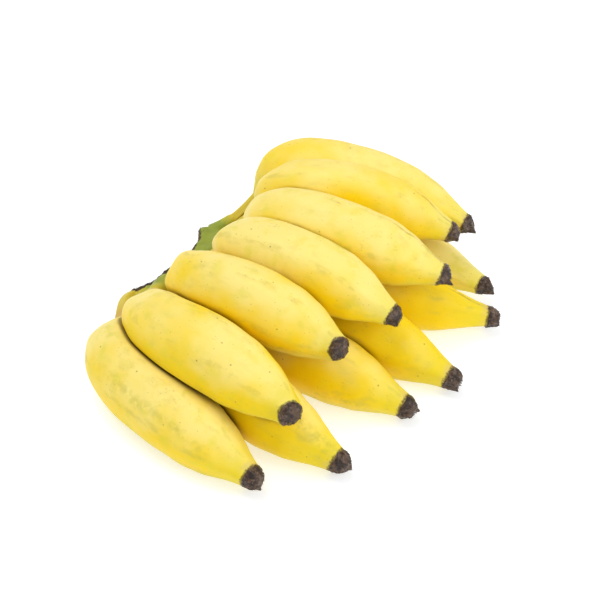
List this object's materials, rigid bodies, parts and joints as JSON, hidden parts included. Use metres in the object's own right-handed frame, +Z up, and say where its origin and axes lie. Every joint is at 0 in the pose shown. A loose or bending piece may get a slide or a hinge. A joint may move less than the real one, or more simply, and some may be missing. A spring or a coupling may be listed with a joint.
{
  "type": "bunch of bananas",
  "caption": "Hand of small ripe dessert bananas lying curved backs up, two rows of plump fingers fanning out from one cut crown.",
  "frame": {"origin": "centre of the bounding box's bottom face, on the surface that the hand lies on", "axes": "+X from the cut crown towards the fingertips, +Y along the rows from finger 1 to finger 6, +Z up"},
  "size_m": [0.1668, 0.209, 0.0679],
  "materials": {
    "banana_skin": "satin",
    "crown_green": "matte",
    "blossom_brown": "matte"
  },
  "bodies": {
    "root": {"crown": "crown_green", "lower_finger_1": "banana_skin", "lower_finger_2": "banana_skin", "lower_finger_3": "banana_skin", "lower_finger_4": "banana_skin", "lower_finger_5": "banana_skin", "lower_finger_6": "banana_skin", "upper_finger_1": "banana_skin", "upper_finger_2": "banana_skin", "upper_finger_3": "banana_skin", "upper_finger_4": "banana_skin", "upper_finger_5": "banana_skin", "upper_finger_6": "banana_skin", "lower_blossom_1": "blossom_brown", "lower_blossom_2": "blossom_brown", "lower_blossom_3": "blossom_brown", "lower_blossom_4": "blossom_brown", "lower_blossom_5": "blossom_brown", "lower_blossom_6": "blossom_brown", "upper_blossom_1": "blossom_brown", "upper_blossom_2": "blossom_brown", "upper_blossom_3": "blossom_brown", "upper_blossom_4": "blossom_brown", "upper_blossom_5": "blossom_brown", "upper_blossom_6": "blossom_brown"}
  },
  "joints": []
}
